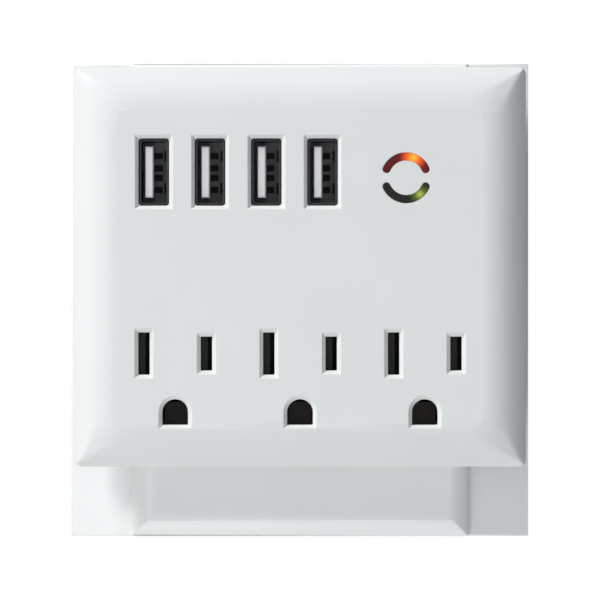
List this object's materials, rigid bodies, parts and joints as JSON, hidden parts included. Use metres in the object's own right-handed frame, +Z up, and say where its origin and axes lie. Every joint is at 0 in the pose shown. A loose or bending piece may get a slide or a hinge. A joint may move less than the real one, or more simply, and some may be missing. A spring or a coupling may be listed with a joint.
{
  "type": "usb wall charger",
  "caption": "Plug-in wall charger with grounded outlets, USB sockets and a two-arc indicator, seated on its single-gang wall plate.",
  "frame": {"origin": "middle of the wall plate's back face, on the plate screw's axis and in the plane of the wall", "axes": "+Z up, the front faces -Y, +Y into the wall, +X to the right seen from the front"},
  "size_m": [0.0954, 0.0534, 0.0988],
  "materials": {
    "white_plastic": "satin moulded white plastic",
    "white_screw": "white painted steel screw",
    "zinc_steel": "zinc plated steel",
    "blade_metal": "plain brass",
    "nylon": "natural nylon",
    "black_plastic": "black moulded plastic",
    "contact_brass": "stamped spring brass",
    "circuit_board": "glass fibre board with solder mask",
    "chip_epoxy": "black moulded epoxy",
    "capacitor_sleeve": "dark sleeved can",
    "red_led": "red tinted lamp body",
    "green_led": "green tinted lamp body",
    "red_lens": "dark red translucent light guide",
    "green_lens": "dark green translucent light guide",
    "ferrite": "sintered ferrite",
    "winding_tape": "yellow polyester tape",
    "yellow_box": "moulded capacitor box",
    "copper_winding": "enamelled copper wire",
    "sink_aluminium": "extruded aluminium",
    "fuse_ceramic": "ceramic tube",
    "blue_epoxy": "blue epoxy coat",
    "wire_black": "insulated wire",
    "spring_steel": "music wire",
    "shell_steel": "dark plated folded steel",
    "tongue_plastic": "light grey insulator",
    "contact_gold": "gold flashed contact"
  },
  "bodies": {
    "wall_mount": {"mounting_plate": "white_plastic", "plate_screw": "white_screw"},
    "charger": {"front_cover": "white_plastic", "rear_shell": "white_plastic", "case_screws": "zinc_steel", "neutral_blade": "blade_metal", "line_blade": "blade_metal", "ground_pin": "blade_metal", "stabiliser_pin": "nylon", "receptacle_base": "black_plastic", "neutral_bus": "contact_brass", "line_bus": "contact_brass", "ground_bus": "contact_brass", "bus_cover": "black_plastic", "bus_cover_screws": "zinc_steel", "usb_board": "circuit_board", "usb_board_screws": "zinc_steel", "charge_chips": "chip_epoxy", "usb_board_capacitors": "capacitor_sleeve", "indicator_board": "circuit_board", "protected_led": "red_led", "grounded_led": "green_led", "indicator_lens_top": "red_lens", "indicator_lens_bottom": "green_lens", "power_board": "circuit_board", "surge_board": "circuit_board", "board_screws": "zinc_steel", "transformer_core": "ferrite", "transformer_winding": "winding_tape", "input_capacitors": "capacitor_sleeve", "filter_capacitor": "yellow_box", "line_choke": "copper_winding", "bridge_rectifier": "chip_epoxy", "heat_sink": "sink_aluminium", "switching_transistor": "chip_epoxy", "output_capacitors": "capacitor_sleeve", "input_fuse": "fuse_ceramic", "varistors": "blue_epoxy", "thermal_cutoff": "fuse_ceramic", "dc_header": "black_plastic", "mains_wires": "wire_black", "indicator_wires": "wire_black", "shutter_spring_1": "spring_steel", "shutter_spring_2": "spring_steel", "shutter_spring_3": "spring_steel", "usb_shell_1": "shell_steel", "usb_tongue_1": "tongue_plastic", "usb_contacts_1": "contact_gold", "usb_shell_2": "shell_steel", "usb_tongue_2": "tongue_plastic", "usb_contacts_2": "contact_gold", "usb_shell_3": "shell_steel", "usb_tongue_3": "tongue_plastic", "usb_contacts_3": "contact_gold", "usb_shell_4": "shell_steel", "usb_tongue_4": "tongue_plastic", "usb_contacts_4": "contact_gold"},
    "shutter_1": {"shutter_1": "black_plastic"},
    "shutter_2": {"shutter_2": "black_plastic"},
    "shutter_3": {"shutter_3": "black_plastic"}
  },
  "joints": [
    {"name": "unplug", "type": "slide", "parent": "wall_mount", "child": "charger", "axis": [0, -1, 0], "range_m": [0, 0.03]},
    {"name": "shutter_1_slide", "type": "slide", "parent": "charger", "child": "shutter_1", "axis": [-1, 0, 0], "range_m": [0, 0.0031], "stiffness_N_per_m": 100, "deforming": ["shutter_spring_1"]},
    {"name": "shutter_2_slide", "type": "slide", "parent": "charger", "child": "shutter_2", "axis": [-1, 0, 0], "range_m": [0, 0.0031], "stiffness_N_per_m": 100, "deforming": ["shutter_spring_2"]},
    {"name": "shutter_3_slide", "type": "slide", "parent": "charger", "child": "shutter_3", "axis": [-1, 0, 0], "range_m": [0, 0.0031], "stiffness_N_per_m": 100, "deforming": ["shutter_spring_3"]}
  ]
}
